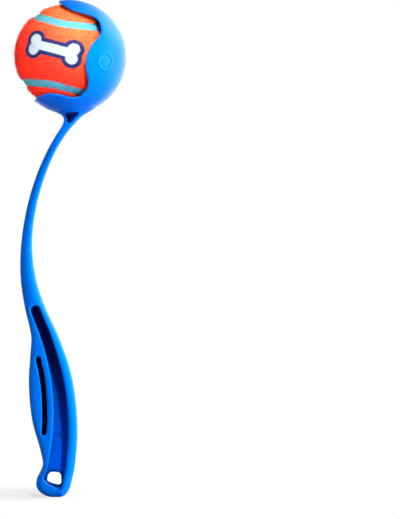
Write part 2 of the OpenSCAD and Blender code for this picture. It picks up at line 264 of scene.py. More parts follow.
def long_outline(middle, width, low, high, cap_low, cap_high, power=2, slant=0):
    """Outline of a long recess about its middle line. Its upper end is an ellipse, and its lower end is
    squarer with a higher power and slants down toward the back."""
    a = np.linspace(0, math.pi / 2, 12)[:-1]
    z = np.concatenate([
        low + cap_low * (1 - np.cos(a)),
        np.linspace(low + cap_low, high - cap_high, 90),
        (high - cap_high * (1 - np.cos(a)))[::-1],
    ])
    below = np.clip((low + cap_low - z) / cap_low, 0, 1)
    above = np.clip((z - high + cap_high) / cap_high, 0, 1)
    lean = middle(z + 0.5) - middle(z - 0.5)
    across = np.column_stack([np.ones_like(z), -lean]) / np.hypot(1, lean)[:, None]
    across[:, 1] -= slant * np.clip(1 - (z - low) / SLANT_RUN, 0, 1)
    half = (width(z) / 2 * (1 - below ** power) ** (1 / power) * np.sqrt(1 - above ** 2))[:, None]
    line = np.column_stack([middle(z), z])
    return np.concatenate([line + half * across, (line - half * across)[-2:0:-1]])


def cornered_outline(corners):
    """Outline with rounded corners from rows of [x, z, corner radius]."""
    outline = []
    for i, (x, z, r) in enumerate(corners):
        here = np.array([x, z])
        ua = np.array(corners[i - 1][:2]) - here
        ub = np.array(corners[(i + 1) % len(corners)][:2]) - here
        ua, ub = ua / np.linalg.norm(ua), ub / np.linalg.norm(ub)
        half = math.acos(ua @ ub) / 2
        mid = here + (ua + ub) / np.linalg.norm(ua + ub) * r / math.sin(half)
        a, b = here + ua * r / math.tan(half) - mid, here + ub * r / math.tan(half) - mid
        for k in np.linspace(0, 1, 9):
            v = a * (1 - k) + b * k
            outline.append(mid + r * v / np.linalg.norm(v))
    return np.array(outline)


HANG_W, HANG_H = 9.0, 8.7
HANG_Z = RECESS_LO + 5.1
HANG_X = float(recess_x(np.array(HANG_Z))) + 0.8
OUTLINES = {
    "stick": stick_outline(),
    "rim": rim_outline(),
    "recess": long_outline(
        recess_x, recess_w, RECESS_LO, RECESS_HI, RECESS_CAP, RECESS_W_TOP / 2, RECESS_SQUARE, SLANT
    ),
    "slot": long_outline(slot_x, lambda z: SLOT_W + 0 * z, SLOT_LO, SLOT_HI, SLOT_W / 2, SLOT_W / 2),
    "neck": cornered_outline([
        [CUP_X - 2.6, NECK_Z + 0.1, 0.9], [CUP_X + 6.4, NECK_Z + 0.4, 0.8], [CUP_X - 1.1, NECK_Z - 8.4, 1.0],
    ]),
    "hang": cornered_outline([
        [HANG_X - 0.50 * HANG_W, HANG_Z + 0.37 * HANG_H, 3.2],
        [HANG_X + 0.41 * HANG_W, HANG_Z + 0.31 * HANG_H, 2.6],
        [HANG_X + 0.46 * HANG_W, HANG_Z - 0.66 * HANG_H, 1.7],
        [HANG_X - 0.58 * HANG_W, HANG_Z - 0.42 * HANG_H, 1.2],
    ]),
}


def outline_distance(outline, x, z):
    """Distance of points from an outline seen from the side, negative inside it."""
    near = np.full(x.shape, np.inf)
    inside = np.zeros(x.shape, bool)
    for (ax, az), (bx, bz) in zip(outline, np.roll(outline, -1, axis=0)):
        ex, ez = bx - ax, bz - az
        if ex == 0 and ez == 0:
            continue
        wx, wz = x - ax, z - az
        t = np.clip((wx * ex + wz * ez) / (ex * ex + ez * ez), 0, 1)
        near = np.minimum(near, (wx - t * ex) ** 2 + (wz - t * ez) ** 2)
        if ez != 0:
            inside ^= ((az > z) != (bz > z)) & (wx < ex * wz / ez)
    return np.where(inside, -1.0, 1.0) * np.sqrt(near)


def smooth_max(a, b, k):
    """Larger of two distances; where they cross, the edge is rounded to a radius of about k."""
    h = np.maximum(k - np.abs(a - b), 0) / k
    return np.maximum(a, b) + h * h * k / 4


def smooth_step(low, high, value):
    q = np.clip((value - low) / (high - low), 0, 1)
    return q * q * (3 - 2 * q)


RING_BACK, RING_R, RING_RISE, RING_BAND = 23.2, 5.35, 0.4, 0.62
RING_LEAN = math.sqrt(1 - (RING_BACK / CUP_R) ** 2)
MARK_X, MARK_Z, MARK_R, MARK_DEEP, MARK_EDGE = 5.15, -23.5, 2.25, 0.8, 0.3
# Radii of the rim at the bays and at the claws' tips, of the neck's fillet, of the cut edges, of the
# corners of the recesses' floors and of the hang hole's edge
BAY_EDGE_R, TIP_EDGE_R, NECK_FILLET, CUT_EDGE_R, FLOOR_FILLET, HOLE_EDGE_R = 1.3, 0.4, 2.5, 0.8, 1.3, 0.9
LIP_CUT, DRAFT = 0.9, 0.02
# Half the width over which the front edges turn into the back ones, and how fast both grow up the stem,
# up to nearly half its depth
EDGE_BLEND, EDGE_GROWTH, ROUND_SHARE = 3, 0.3, 0.49


def launcher_distance(x, y, z, flat):
    """Distance from the skin of the moulding. flat holds the distances from the outlines."""
    y = np.abs(y)
    # Stick: the side outline drawn across its width, with round long edges
    half_w = along(WIDTH, z) / 2
    above, below = z + 0.5, z - 0.5
    lean = along(SPINE, above) - along(SPINE, below) - (along(DEPTH, above) - along(DEPTH, below)) / 2
    thin = ROUND_SHARE * along(DEPTH, z) / np.hypot(1, lean)
    middle = along(SPINE, z) - along(DEPTH, z) / 2
    edge = FRONT_EDGE_R + (BACK_EDGE_R - FRONT_EDGE_R) * smooth_step(-EDGE_BLEND, EDGE_BLEND, x - middle)
    edge = np.minimum(np.minimum(thin, half_w), edge + EDGE_GROWTH * np.maximum(0, z - STEM_Z))
    qx, qy = flat["stick"] + edge, y - half_w + edge
    stick = np.minimum(np.maximum(qx, qy), 0) + np.hypot(np.maximum(qx, 0), np.maximum(qy, 0)) - edge
    # Cup: a ball-shaped shell cut by the rim, with a raised ring on each flank
    dx, dz = x - CUP_X, z - CUP_Z
    ahead, upward = dx * MOUTH[0] + dz * MOUTH[1], dx * CLAW[0] + dz * CLAW[1]
    radius = np.sqrt(dx * dx + y * y + dz * dz)
    ring = np.hypot((ahead + RING_BACK) / RING_LEAN, upward) - RING_R
    outer = radius - CUP_R - RING_RISE * np.exp(-(ring / RING_BAND) ** 4) * (y > CUP_R / 2)
    cup = smooth_max(outer, flat["rim"], np.interp(ahead, [2, 14], [BAY_EDGE_R, TIP_EDGE_R]))
    body = -smooth_max(-cup, -stick, NECK_FILLET)
    # Bowl: round behind, straight between the claws, thinned to a lip along the bays
    lip = LIP_CUT * smooth_step(-5, -0.5, flat["rim"]) * (1 - smooth_step(-6, 4, ahead))
    bowl = np.minimum(radius - BOWL_R, np.maximum(np.hypot(upward, y) - MOUTH_R, -ahead)) - lip
    body = smooth_max(body, -bowl, CUT_EDGE_R)
    # Recesses in both flanks, with a little draft, and the hole through the web
    mark = np.hypot(x - MARK_X, z - MARK_Z) - MARK_R
    floor = WEB / 2 - MARK_DEEP * smooth_step(MARK_EDGE, -MARK_EDGE, mark)
    for name in ("recess", "slot", "neck"):
        pocket = smooth_max(flat[name] - DRAFT * (y - WEB / 2), floor - y, FLOOR_FILLET)
        body = smooth_max(body, -pocket, CUT_EDGE_R)
    return smooth_max(body, -flat["hang"], HOLE_EDGE_R)


def skin(field, origin, cell):
    """Quad mesh where the field changes sign: one point in each crossed cell of the grid."""
    inside = field < 0
    corners = list(itertools.product((0, 1), repeat=3))
    nx, ny, nz = (n - 1 for n in field.shape)
    count = sum(inside[i:nx + i, j:ny + j, k:nz + k].astype(np.int8) for i, j, k in corners)
    cells = np.argwhere((count > 0) & (count < 8))
    index = np.full(count.shape, -1)
    index[tuple(cells.T)] = np.arange(len(cells))
    total, number = np.zeros((len(cells), 3)), np.zeros((len(cells), 1))
    for a, b in itertools.combinations(np.array(corners), 2):
        if np.abs(a - b).sum() != 1:
            continue
        fa, fb = field[tuple((cells + a).T)], field[tuple((cells + b).T)]
        cut = (fa < 0) != (fb < 0)
        share = np.where(cut, fa / np.where(cut, fa - fb, 1), 0)[:, None]
        total += np.where(cut[:, None], a + share * (b - a), 0)
        number += cut[:, None]
    faces = []
    for axis in range(3):
        su, sv = np.eye(3, dtype=int)[[(axis + 1) % 3, (axis + 2) % 3]]
        steps = inside.shape[axis]
        near, far = inside.take(range(steps - 1), axis), inside.take(range(1, steps), axis)
        for leaving in (True, False):
            at = np.argwhere((near & ~far) if leaving else (~near & far))
            ring = [at, at - su, at - su - sv, at - sv]
            quad = np.column_stack([index[tuple(p.T)] for p in ring])
            faces.append(quad if leaving else quad[:, ::-1])
    return origin + cell * (cells + total / number), np.concatenate(faces)


# Grid of the distance field: its cell, its lowest corner and its counts
CELL = 0.72
GRID_X, GRID_Z = -25.0, BUTT_Z - 2.0
COUNT_X, COUNT_Y, COUNT_Z = 103, 53, 450
PUSHES, LONGEST_PUSH, SLOPE_STEP = 3, 0.3, 0.1
# Width of the neck's pocket, and how far past a recess's outline its walls may lie
NECK_POCKET_W, WALL = 5.0, 0.7
# Ranges over which the recesses' painted shade and painted light change: the painted shade of narrow ones by
# depth over width and round the hang hole by distance and depth, the painted light of the floor by inset and
# depth, and the rough finish of the cores by depth
NARROW, HOLE_NEAR, HOLE_DEPTH = (0.75, 1.7), (0.5, 2.6), (3, 7)
FLOOR_INSET, FLOOR_DEPTH, CORE_DEPTH = (-1.2, -0.5), (5, 8), (1.0, 2.5)
# How strong the painted shade round the hang hole is at two levels
HOLE_LEVELS, HOLE_PAINTED_SHADE = (-53, -49), (0.9, 0.5)


def recess_shares(points, flat):
    """What the finish needs at each point: painted shade in the recesses, from 0 on the flank to 1 in a
    narrow slot, stronger the deeper and narrower a recess is and also round the hang hole, painted light on
    the floor of the wide recess, and where the tool's cores were. flat holds the distances from the
    outlines."""
    z = points[:, 2]
    depth = along(WIDTH, z) / 2 - np.abs(points[:, 1])
    # Painted shade in the recesses, stronger the deeper and narrower they are
    deep = np.zeros(len(points))
    for name, width in (("recess", recess_w(z)), ("slot", SLOT_W), ("neck", NECK_POCKET_W)):
        deep = np.maximum(deep, smooth_step(*NARROW, depth / width) * (flat[name] < WALL))
    # Painted shade round the hang hole too, more so below it
    in_recess = flat["recess"] < WALL
    hole_painted_shade = np.interp(z, HOLE_LEVELS, HOLE_PAINTED_SHADE) * (1 - smooth_step(*HOLE_NEAR, flat["hang"]))
    deep = np.maximum(deep, hole_painted_shade * smooth_step(*HOLE_DEPTH, depth) * in_recess)
    # Painted light on the floor of the wide recess, where there is no painted shade
    floor_painted_light = smooth_step(*FLOOR_DEPTH, depth) * (1 - smooth_step(*FLOOR_INSET, flat["recess"]))
    return {
        "recess_painted_shade": deep,
        "recess_floor_painted_light": floor_painted_light * (1 - deep),
        "core_finish": smooth_step(*CORE_DEPTH, depth) * in_recess,
    }


def moulding():
    """Points and faces of the launcher, from its distance field, and its recess shares."""
    x = GRID_X + CELL * np.arange(COUNT_X)
    y = CELL * (np.arange(COUNT_Y) + 0.5)
    z = GRID_Z + CELL * np.arange(COUNT_Z)
    gx, gz = np.meshgrid(x, z, indexing="ij")
    flat = {name: outline_distance(outline, gx, gz) for name, outline in OUTLINES.items()}
    across = {name: f[:, None, :] for name, f in flat.items()}
    half = launcher_distance(x[:, None, None], y[None, :, None], z[None, None, :], across)
    field = np.concatenate([half[:, ::-1], half], axis=1)
    points, faces = skin(field, np.array([x[0], -y[-1], z[0]]), CELL)

    def at(p):
        """The field at any points, the outlines' distances taken between the grid's lines."""
        i, k = (p[:, 0] - x[0]) / CELL, (p[:, 2] - z[0]) / CELL
        i0, k0 = np.clip(i.astype(int), 0, len(x) - 2), np.clip(k.astype(int), 0, len(z) - 2)
        a, b = i - i0, k - k0
        here = {
            name: (1 - a) * (1 - b) * f[i0, k0] + a * (1 - b) * f[i0 + 1, k0]
            + (1 - a) * b * f[i0, k0 + 1] + a * b * f[i0 + 1, k0 + 1]
            for name, f in flat.items()
        }
        return launcher_distance(p[:, 0], p[:, 1], p[:, 2], here)

    for _ in range(PUSHES):
        value = at(points)
        slope = np.column_stack([
            (at(points + e) - at(points - e)) / (2 * SLOPE_STEP) for e in SLOPE_STEP * np.eye(3)
        ])
        push = value / np.maximum((slope ** 2).sum(1), 0.3)
        points = points - np.clip(push, -LONGEST_PUSH, LONGEST_PUSH)[:, None] * slope

    i = np.rint((points[:, 0] - x[0]) / CELL).astype(int)
    k = np.rint((points[:, 2] - z[0]) / CELL).astype(int)
    return points, faces, recess_shares(points, {name: f[i, k] for name, f in flat.items()})


# Ball: seam, felt panels and nap

BALL_AHEAD, BALL_R = 3.0, 32.0
BALL_AT = np.array([CUP_X, 0, CUP_Z]) + BALL_AHEAD * np.array([MOUTH[0], 0, MOUTH[1]])
NAP_R, UNDER_R = 32.05, 29.3
SEAM_W = 6.2
SEAM_HALF = math.asin(SEAM_W / 2 / BALL_R)
SEAM_LAT = math.radians(51)
# Felt: how far its shoulders fall to the seam, over which width, and the height of its lumps
SHOULDER_DROP, SHOULDER_W, LUMP = 0.95, 2.4, 0.11
# Points round a panel, rows of them on its crown, its shoulder and its under face, and the share of the
# way from its middle to its edge at which the shoulder's rows begin
AROUND, CROWN_ROWS, SHOULDER_ROWS, UNDER_ROWS, SHOULDER_AT = 480, 82, 16, 9, 0.9


def turned(axis, degrees):
    """Rotation matrix about one of the three axes."""
    c, s = math.cos(math.radians(degrees)), math.sin(math.radians(degrees))
    m = np.eye(3)
    i, j = (axis + 1) % 3, (axis + 2) % 3
    m[i, i], m[i, j], m[j, i], m[j, j] = c, -s, s, c
    return m


BALL_TURN = turned(2, -10) @ turned(1, 11) @ turned(0, 93.3)
OVER = np.array([[0.0, 1, 0], [1, 0, 0], [0, 0, -1]])


def in_cup(points):
    return points @ BALL_TURN.T + BALL_AT


def unit(v):
    return v / np.linalg.norm(v, axis=-1, keepdims=True)


def seam_line(t):
    """Directions from the middle of the ball along the seam, t from 0 to 4 pi."""
    k = np.floor(t / math.pi)
    lon = k * math.pi / 2 + np.arccos(np.cos(t - k * math.pi) ** 3) / 2
    lat = SEAM_LAT * np.cos(t)
    return np.column_stack([np.cos(lat) * np.sin(lon), np.cos(lat) * np.cos(lon), np.sin(lat)])


ROUND = np.linspace(0, 4 * math.pi, AROUND, endpoint=False)
SEAM = seam_line(ROUND)
SEAM_SIDE = unit(np.cross(seam_line(ROUND + 0.02) - seam_line(ROUND - 0.02), SEAM))
PANEL_EDGE = SEAM * math.cos(SEAM_HALF) + SEAM_SIDE * math.sin(SEAM_HALF)


def closed_grid(rows, count, first=None, last=None):
    """Faces of rows of points that close round, with a fan to one point at either end."""
    ring = np.arange(count)
    nxt = (ring + 1) % count
    faces = []
    for r in range(rows - 1):
        faces += np.column_stack([r * count + ring, (r + 1) * count + ring,
                                  (r + 1) * count + nxt, r * count + nxt]).tolist()
    if first is not None:
        faces += np.column_stack([np.full(count, first), ring, nxt]).tolist()
    if last is not None:
        base = (rows - 1) * count
        faces += np.column_stack([np.full(count, last), base + nxt, base + ring]).tolist()
    return faces


def unevenness(p, seed, longest, shortest, waves):
    """Soft lumps from a set of crossing waves, between about -1 and 1."""
    rng = np.random.default_rng(seed)
    way = unit(rng.normal(size=(waves, 3)))
    length = np.exp(rng.uniform(math.log(shortest), math.log(longest), waves))
    phase = rng.uniform(0, 2 * math.pi, waves)
    return np.sin(p @ (way * (2 * math.pi / length)[:, None]).T + phase).sum(1) / math.sqrt(waves)


def felt_panel(over):
    """One felt panel: a crowned outer face with soft shoulders, a side and an under face."""
    pole = np.array([0, 0, 1.0])
    reach = np.arccos(PANEL_EDGE[:, 2])[:, None]

    def row(share):
        return (pole * np.sin((1 - share) * reach) + PANEL_EDGE * np.sin(share * reach)) / np.sin(reach)

    outer_shares = np.concatenate([
        np.linspace(0, SHOULDER_AT, CROWN_ROWS)[1:], np.linspace(SHOULDER_AT, 1, SHOULDER_ROWS)[1:]
    ])
    under_shares = np.linspace(1, 0, UNDER_ROWS)[:-1]
    outer = np.concatenate([[pole]] + [row(s) for s in outer_shares])
    clear = np.concatenate([
        np.arccos(np.clip((part @ PANEL_EDGE.T).max(1), -1, 1)) for part in np.array_split(outer, 12)
    ]) * NAP_R
    shoulder = SHOULDER_DROP * np.clip(1 - clear / SHOULDER_W, 0, 1) ** 2.2
    lumps = LUMP * unevenness(outer * NAP_R, seed=5, longest=9, shortest=2.5, waves=40)
    outer = outer * (NAP_R - shoulder + lumps * np.clip(clear / 2, 0, 1))[:, None]
    under = np.concatenate([row(s) * UNDER_R for s in under_shares] + [[pole * UNDER_R]])
    points = np.concatenate([outer[1:], under[:-1], outer[:1], under[-1:]])
    rows = len(outer_shares) + len(under_shares)
    faces = closed_grid(rows, AROUND, rows * AROUND, rows * AROUND + 1)
    outer_faces = closed_grid(len(outer_shares), AROUND, rows * AROUND)
    if over:
        points = points @ OVER.T
    return in_cup(points), faces, outer_faces


def seam_strip():
    """The rubber seam: a crowned strip that tucks under both felt edges."""
    # Share of the seam's half width, and radius
    profile = [
        (-1.22, 30.4), (-1.02, 31.05), (-0.75, 31.32), (-0.38, 31.42), (0, 31.45), (0.38, 31.42),
        (0.75, 31.32), (1.02, 31.05), (1.22, 30.4), (1.22, UNDER_R), (0, UNDER_R), (-1.22, UNDER_R),
    ]
    rows = [(SEAM * math.cos(a * SEAM_HALF) + SEAM_SIDE * math.sin(a * SEAM_HALF)) * r for a, r in profile]
    faces = closed_grid(len(rows), AROUND)
    ring = np.arange(AROUND)
    nxt = (ring + 1) % AROUND
    base = (len(rows) - 1) * AROUND
    faces += np.column_stack([base + ring, ring, nxt, base + nxt]).tolist()
    # A face of the crown comes first, so that outward() can judge by it
    crown = 4 * AROUND
    return in_cup(np.concatenate(rows)), faces[crown:] + faces[:crown]


def outward(points, faces, middle):
    """The faces, turned round if their first one looks toward the middle."""
    a, b, c = (points[faces[0][i]] for i in range(3))
    return faces if np.cross(b - a, c - a) @ (a - middle) > 0 else [f[::-1] for f in faces]


# Finishes

def moulded_polypropylene():
    # Polypropylene, injection moulded in a satin tool: a deep clean azure all through, broad soft
    # highlights, faint flow streaks along the stick and a trace of orange peel.
    finish, tree, shader, place = finish_named("moulded_polypropylene_azure")
    # Flow streaks, about 9 mm apart and drawn out four times along the stick
    drawn_out = add(tree, "ShaderNodeMapping", {"Vector": place, "Scale": (1, 1, 0.25)}).outputs["Vector"]
    blue = mixed(tree, noise(tree, drawn_out, scale=110, detail=3), linear("#0054BA"), linear("#005EC8"))
    # Painted light: the floor of the wide recess is painted a clearer, lighter blue
    clear = mixed(tree, value_of(tree, "recess_floor_painted_light"), blue, linear("#0062F0"))
    # Painted shade: the narrow recesses and the surround of the hang hole are painted near black. The
    # recesses keep the rough finish of the tool's cores, set in the roughness below
    deep = maths(tree, "MULTIPLY", value_of(tree, "recess_painted_shade"), 0.9)
    tree.links.new(mixed(tree, deep, clear, linear("#000448")), shader.inputs["Base Color"])
    # Handling marks in the gloss, 4 mm patches
    gloss = ranged(tree, noise(tree, place, scale=250, detail=5), (0.3, 0.7), (0.29, 0.38))
    rough = add(tree, "ShaderNodeMix", {0: value_of(tree, "core_finish"), 2: gloss, 3: 0.85}).outputs[0]
    tree.links.new(rough, shader.inputs["Roughness"])
    # Orange peel: real dimples of about 0.5 mm, drawn at 1.5 mm so that they show
    bumped(tree, shader, noise(tree, place, scale=650, detail=1), strength=0.12, distance=0.0003)
    set_inputs(shader, {"IOR": 1.49, "Specular IOR Level": 0.3, "Specular Tint": linear("#00C0FF")})
    return finish


# Print on the ball, in millimetres: where it faces, how it leans, the bone's knobs, half the height of
# its shaft, the fillet between them, and each ink with its reach past the bone's outline
PRINT_OUT = unit(np.array([-7.8, -31.0, 1.7]))
PRINT_LEAN = math.radians(15)
KNOB_X, KNOB_Z, KNOB_R = 12.8, 3.0, 3.7
SHAFT_HALF, BONE_FILLET = 2.8, 1.6
NAVY, WHITE_INK = ("#002458", 3.1), ("#A8B4BA", 0.55)
INK_EDGE, INK_COVER, FRONT_ONLY = 0.25, 0.99, -12
# Painted light and shade on the felt: the way toward which it is painted paler, the levels between which it
# changes from the full painted shade tint to none, and that tint, redder and darker, laid over the lower
# part
PAINTED_LIGHT_WAY = unit(np.array([0.7, -0.15, 0.7]))
PAINTED_SHADE_FULL, PAINTED_SHADE_GONE = -10, 22
PAINTED_SHADE_TINT = linear("#FA7C95")


def bone_print(tree, place, dye_and_painted_light):
    """The felt's colour, with its dye and its painted light and shade, with a dog's bone printed over it:
    white with a navy border. The felt takes the ink a little unevenly."""
    up = unit(np.array([0, 0, 1]) - PRINT_OUT * PRINT_OUT[2])
    right = np.cross(-PRINT_OUT, up)
    side = right * math.cos(PRINT_LEAN) - up * math.sin(PRINT_LEAN)
    turn = Matrix(np.column_stack([side, -PRINT_OUT, np.cross(side, -PRINT_OUT)]).tolist()).to_euler()
    seat = {"Vector": place, "Location": BALL_AT * MM, "Rotation": turn, "Scale": (MM, MM, MM)}
    flat = add(tree, "ShaderNodeMapping", seat, vector_type="TEXTURE").outputs["Vector"]
    size = add(tree, "ShaderNodeVectorMath", {0: flat}, operation="ABSOLUTE").outputs["Vector"]
    ways = add(tree, "ShaderNodeSeparateXYZ", {"Vector": size}).outputs
    u, v = ways["X"], ways["Z"]
    plan = add(tree, "ShaderNodeCombineXYZ", {"X": u, "Z": v}).outputs["Vector"]
    knob = maths(tree, "SUBTRACT", vector_maths(tree, "DISTANCE", plan, (KNOB_X, 0, KNOB_Z)), KNOB_R)
    shaft = maths(
        tree, "MAXIMUM", maths(tree, "SUBTRACT", u, KNOB_X), maths(tree, "SUBTRACT", v, SHAFT_HALF)
    )
    bone = maths(tree, "SMOOTH_MIN", knob, shaft, BONE_FILLET)
    # Fibres make the ink's edge ragged, in steps of about 0.7 mm
    edge = maths(tree, "MULTIPLY_ADD", noise(tree, flat, scale=1.4, detail=3), 1.1, bone)
    depth = add(tree, "ShaderNodeSeparateXYZ", {"Vector": flat}).outputs["Y"]
    front = maths(tree, "LESS_THAN", depth, FRONT_ONLY)
    for ink, reach in (NAVY, WHITE_INK):
        share = ranged(tree, edge, (reach - INK_EDGE, reach + INK_EDGE), (INK_COVER, 0))
        dye_and_painted_light = mixed(tree, maths(tree, "MULTIPLY", share, front), dye_and_painted_light, linear(ink))
    return dye_and_painted_light


def needled_felt(name, tip, depth):
    # Needle-punched wool and nylon felt with a bright orange dye: a faint dull gloss, a soft pale bloom
    # where the fibre ends catch the light, real on the nap and painted sheen on the pale tops of the clumps,
    # clumps of fibre about 1 mm across and deeper red between them.
    finish, tree, shader, place = finish_named(name)
    clumps = noise(tree, place, scale=900, detail=4, Roughness=0.6, Distortion=0.8)
    shade = add(tree, "ShaderNodeValToRGB", {"Fac": clumps})
    ramp = shade.color_ramp.elements
    ramp[0].position, ramp[0].color = 0.3, linear("#D04614")
    # The pale tops of the clumps, partly painted sheen
    ramp[1].position, ramp[1].color = 0.72, linear(tip)
    ramp.new(0.5).color = linear("#FF6830")
    # Painted light and shade: the felt is painted redder and darker below and left pale orange toward the
    # top
    level = float(BALL_AT @ PAINTED_LIGHT_WAY)
    ends = ((level + PAINTED_SHADE_FULL) * MM, (level + PAINTED_SHADE_GONE) * MM)
    painted_shade_below = ranged(tree, vector_maths(tree, "DOT_PRODUCT", place, PAINTED_LIGHT_WAY), ends, (1, 0), "SMOOTHSTEP")
    dye_and_painted_light = mixed(tree, painted_shade_below, shade.outputs["Color"], PAINTED_SHADE_TINT, "MULTIPLY")
    tree.links.new(bone_print(tree, place, dye_and_painted_light), shader.inputs["Base Color"])
    bumped(tree, shader, clumps, strength=0.8, distance=0.0008)
    set_inputs(shader, {
        "Roughness": 0.7, "Specular IOR Level": 0.3,
        "Sheen Weight": 0.02, "Sheen Roughness": 0.5, "Sheen Tint": linear("#FFA878"),
        "Subsurface Weight": depth, "Subsurface Radius": (1.0, 0.25, 0.1), "Subsurface Scale": 0.0015,
    })
    return finish


def seam_rubber():
    # Natural rubber cement, poured and cured in the seam: matte light blue with small pinholes.
    finish, tree, shader, place = finish_named("cured_seam_rubber_light_blue")
    # Pinholes of 0.5 to 1.2 mm, one to each 2.4 mm; their darker colour is painted shade
    cells = add(tree, "ShaderNodeTexVoronoi", {"Vector": place, "Scale": 420, "Randomness": 1})
    hole = ranged(tree, cells.outputs["Distance"], (0.1, 0.26))
    # Cloudy patches of about 3 mm
    tone = mixed(tree, noise(tree, place, scale=300, detail=4), linear("#388894"), linear("#4E9CA6"))
    # Painted shade: the pinholes take the darker colour
    tree.links.new(mixed(tree, hole, linear("#2C6670"), tone), shader.inputs["Base Color"])
    bumped(tree, shader, hole, strength=0.6, distance=0.0004)
    set_inputs(shader, {"Roughness": 0.75, "IOR": 1.52})
    return finish


def core_rubber():
    # Moulded natural rubber with carbon black: dull, with a fine bloom in 5 mm patches.
    finish, tree, shader, place = finish_named("moulded_core_rubber_dark")
    bloom = noise(tree, place, scale=200, detail=5)
    tree.links.new(mixed(tree, bloom, linear("#242424"), linear("#3C3C3A")), shader.inputs["Base Color"])
    bumped(tree, shader, bloom, strength=0.3, distance=0.0002)
    set_inputs(shader, {"Roughness": 0.8})
    return finish


# Loose fibres: how many stand on a square metre, how long they are, their thickness as a share of that,
# the spread of their lengths and how they lean and turn
NAP_DENSITY, NAP_LENGTH, NAP_THICKNESS = 1.9e6, 1.3, 0.04
NAP_SHORTEST, NAP_LONGEST = 0.55, 1.25
NAP_LEAN_LOW, NAP_LEAN_HIGH = (0.5, 0, 0), (1.35, 0, 6.283)


def loose_nap():
    """Node tree that stands short curled fibres on a felt face."""
    tree = bpy.data.node_groups.new("loose_nap", "GeometryNodeTree")
    tree.is_modifier = True
    face = tree.interface
    face.new_socket("Felt", in_out="INPUT", socket_type="NodeSocketGeometry")
    for name, kind in (("Density", "Float"), ("Length", "Float"), ("Thickness", "Float"), ("Seed", "Int"),
                       ("Finish", "Material")):
        face.new_socket(name, in_out="INPUT", socket_type="NodeSocket" + kind)
    face.new_socket("Nap", in_out="OUTPUT", socket_type="NodeSocketGeometry")
    given = add(tree, "NodeGroupInput").outputs
    spots = add(
        tree, "GeometryNodeDistributePointsOnFaces",
        {"Mesh": given["Felt"], "Density": given["Density"], "Seed": given["Seed"]},
        distribute_method="RANDOM",
    )
    # One fibre of length 1: it leaves the felt upright and bends over
    bend = add(
        tree, "GeometryNodeCurveQuadraticBezier",
        {"Resolution": 2, "Start": (0, 0, -0.1), "Middle": (0, 0, 0.55), "End": (0.42, 0, 0.9)},
    )
    round_fibre = add(
        tree, "GeometryNodeCurvePrimitiveCircle", {"Resolution": 3, "Radius": given["Thickness"]}
    )
    fibre = add(
        tree, "GeometryNodeCurveToMesh",
        {"Curve": bend.outputs["Curve"], "Profile Curve": round_fibre.outputs["Curve"], "Fill Caps": True},
    )
    lean = add(
        tree, "FunctionNodeRandomValue", {0: NAP_LEAN_LOW, 1: NAP_LEAN_HIGH, "Seed": given["Seed"]},
        data_type="FLOAT_VECTOR",
    )
    turn = add(tree, "FunctionNodeEulerToRotation", {"Euler": lean.outputs[0]})
    lay = add(
        tree, "FunctionNodeRotateRotation",
        {"Rotation": spots.outputs["Rotation"], "Rotate By": turn.outputs["Rotation"]},
        rotation_space="LOCAL",
    )
    grown = add(
        tree, "FunctionNodeRandomValue", {2: NAP_SHORTEST, 3: NAP_LONGEST, "Seed": given["Seed"]},
        data_type="FLOAT",
    )
    size = maths(tree, "MULTIPLY", grown.outputs[1], given["Length"])
    nap = add(
        tree, "GeometryNodeInstanceOnPoints",
        {"Points": spots.outputs["Points"], "Instance": fibre.outputs["Mesh"],
         "Rotation": lay.outputs["Rotation"], "Scale": size},
    )
    real = add(tree, "GeometryNodeRealizeInstances", {"Geometry": nap.outputs["Instances"]})
    painted = add(
        tree, "GeometryNodeSetMaterial", {"Geometry": real.outputs["Geometry"], "Material": given["Finish"]}
    )
    add(tree, "NodeGroupOutput", {"Nap": painted.outputs["Geometry"]})
    return tree


def grow_nap(name, points, faces, tree, seed, finish):
    """Adds a plain mesh of the fibres that the tree stands on a felt face."""
    mesh = bpy.data.meshes.new(name + "_bed")
    mesh.from_pydata((points * MM).tolist(), [], faces)
    bed = bpy.data.objects.new(name + "_bed", mesh)
    scene.collection.objects.link(bed)
    grow = bed.modifiers.new("nap", "NODES")
    grow.node_group = tree
    sizes = {
        "Density": NAP_DENSITY, "Length": NAP_LENGTH * MM, "Thickness": NAP_THICKNESS,
        "Seed": seed, "Finish": finish,
    }
    for socket in tree.interface.items_tree:
        if socket.in_out == "INPUT" and socket.name in sizes:
            grow[socket.identifier] = sizes[socket.name]
    graph = bpy.context.evaluated_depsgraph_get()
    fibres = bpy.data.meshes.new_from_object(bed.evaluated_get(graph), depsgraph=graph)
    bed.modifiers.remove(grow)
    bpy.data.objects.remove(bed)
    piece = bpy.data.objects.new(name, fibres)
    fibres.name = name
    scene.collection.objects.link(piece)
    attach(piece, "ball")


# The object

points, faces, shares = moulding()
plastic = moulded_polypropylene()
launcher = solid(
    "moulded_launcher", points, faces.tolist(), plastic, "launcher", "launcher", slot="blue_plastic"
)
for name, share in shares.items():
    launcher.data.attributes.new(name, "FLOAT", "POINT").data.foreach_set("value", share)

# The tip colours are the pale tops of the clumps, partly painted sheen
felt = needled_felt("needled_felt_orange", "#FF8C58", 0.2)
nap_finish = needled_felt("loose_felt_fibre_orange", "#FF9C6C", 0)
nap_tree = loose_nap()
for side, over in (("front", False), ("rear", True)):
    points, faces, top = felt_panel(over)
    faces = outward(points, faces, BALL_AT)
    top = outward(points, top, BALL_AT)
    solid("felt_" + side, points, faces, felt, "ball", "felt_panel_" + side, slot="orange_felt")
    grow_nap("felt_nap_" + side, points, top, nap_tree, 3 + over, nap_finish)

points, faces = seam_strip()
faces = outward(points, faces, BALL_AT)
solid("seam_strip", points, faces, seam_rubber(), "ball", "seam_band", slot="seam_rubber")

rubber = core_rubber()
for side in ("front", "rear"):
    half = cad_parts["ball_core_" + side]
    half.data.materials.clear()
    half.data.materials.append(rubber)


# Studio: floor, light and camera

